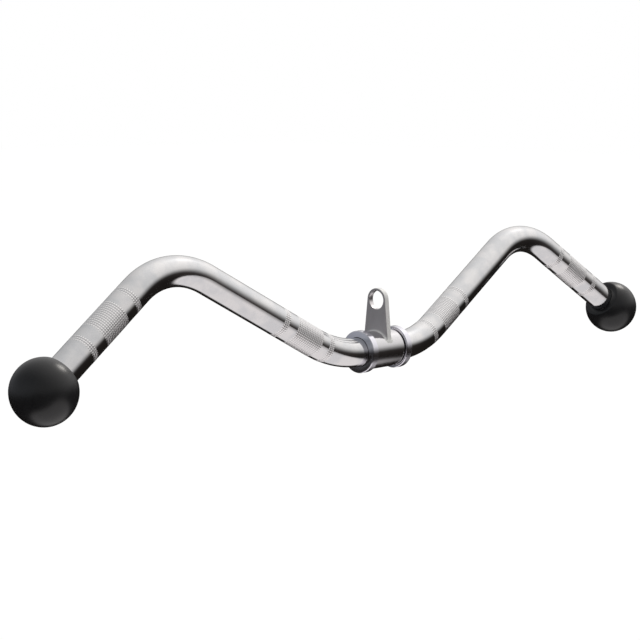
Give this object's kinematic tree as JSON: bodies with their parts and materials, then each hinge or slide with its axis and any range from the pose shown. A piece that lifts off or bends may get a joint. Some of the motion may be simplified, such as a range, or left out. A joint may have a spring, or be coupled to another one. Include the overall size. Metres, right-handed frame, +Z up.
{
  "type": "cable ez bar",
  "caption": "Curl bar for a cable machine: a low W bend with knurled grips, a ball on each end, and a revolving centre barrel with an eye plate.",
  "frame": {"origin": "centre of the round hole in the eye plate, which is where the part hangs", "axes": "+X along the barrel's turning axis to the right end of the bar, +Y away from the viewer of the picture, +Z up from the barrel to the eye"},
  "size_m": [0.8676, 0.0607, 0.128],
  "materials": {
    "plated_steel": "polished nickel-chrome plating on turned and welded steel, with soft machining marks",
    "plated_bar": "polished chrome plating on a bent steel bar, with fine square knurling in the grip zones",
    "black_rubber": "solid moulded black rubber with a smooth satin surface",
    "bronze": "sintered bearing bronze, matt with an oil film",
    "black_nylon": "black nylon, matt",
    "black_oxide_steel": "black oxide on turned steel, slightly oily"
  },
  "bodies": {
    "hanger": {"hanger_barrel": "plated_steel", "eye_plate": "plated_steel", "eye_weld": "plated_steel", "bush_left": "bronze", "bush_right": "bronze", "thrust_washer_left": "black_nylon", "thrust_washer_right": "black_nylon"},
    "bar": {"curl_bar": "plated_bar", "stop_collar_left": "plated_steel", "stop_collar_right": "plated_steel", "collar_screw_left_1": "black_oxide_steel", "collar_screw_left_2": "black_oxide_steel", "collar_screw_right_1": "black_oxide_steel", "collar_screw_right_2": "black_oxide_steel", "ball_left": "black_rubber", "ball_right": "black_rubber", "ball_insert_left": "black_oxide_steel", "ball_insert_right": "black_oxide_steel", "ball_stud_left": "black_oxide_steel", "ball_stud_right": "black_oxide_steel"}
  },
  "joints": [
    {"name": "bar_turn", "type": "hinge", "parent": "hanger", "child": "bar", "pos_m": [0, 0, -0.0485], "axis": [1, 0, 0], "continuous": true}
  ]
}
